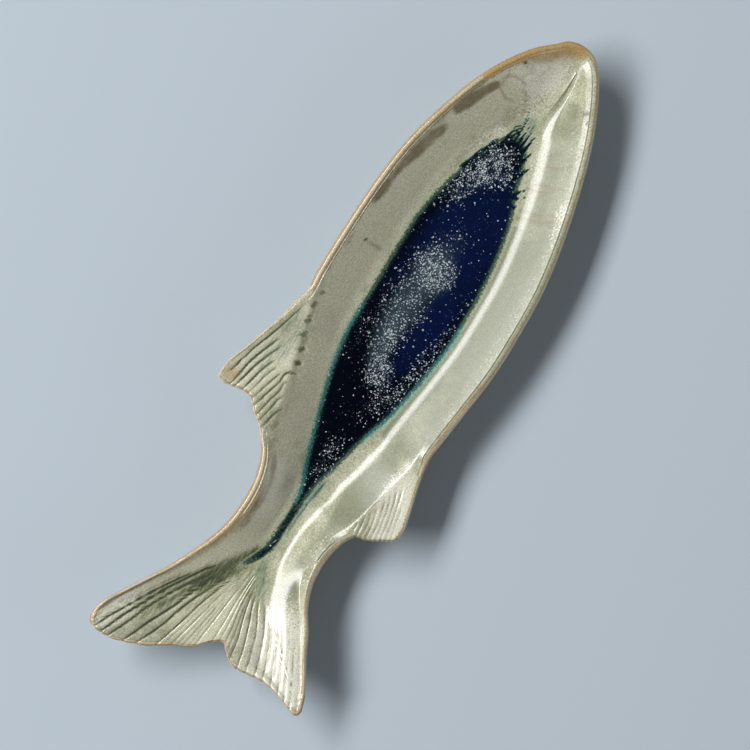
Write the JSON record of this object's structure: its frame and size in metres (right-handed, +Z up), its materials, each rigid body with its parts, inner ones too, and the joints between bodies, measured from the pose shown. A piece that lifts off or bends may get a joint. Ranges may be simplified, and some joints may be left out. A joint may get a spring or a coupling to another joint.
{
  "type": "fish shaped platter",
  "caption": "Long shallow serving platter in the outline of a fish, with a raised rim, moulded fins, forked tail and foot ring.",
  "frame": {"origin": "middle of the platter's outline, on the table under its foot ring", "axes": "+X towards the nose of the fish, +Y towards the dorsal fin, +Z up"},
  "size_m": [0.5003, 0.1658, 0.0317],
  "materials": {
    "stoneware": "bare fired stoneware, warm tan with fine iron specks",
    "bare_foot": "bare stoneware foot, wiped clean of glaze and ground flat",
    "celadon_face": "mottled grey-green celadon glaze that breaks to golden tan on the rim, glossy",
    "celadon_back": "plain grey-green celadon glaze, glossy",
    "cobalt_glaze": "deep cobalt blue reactive glaze with pale crystals, glossy"
  },
  "bodies": {
    "root": {"stoneware_body": "stoneware", "foot_ring": "bare_foot", "face_glaze": "celadon_face", "back_glaze": "celadon_back", "cobalt_pool": "cobalt_glaze"}
  },
  "joints": []
}
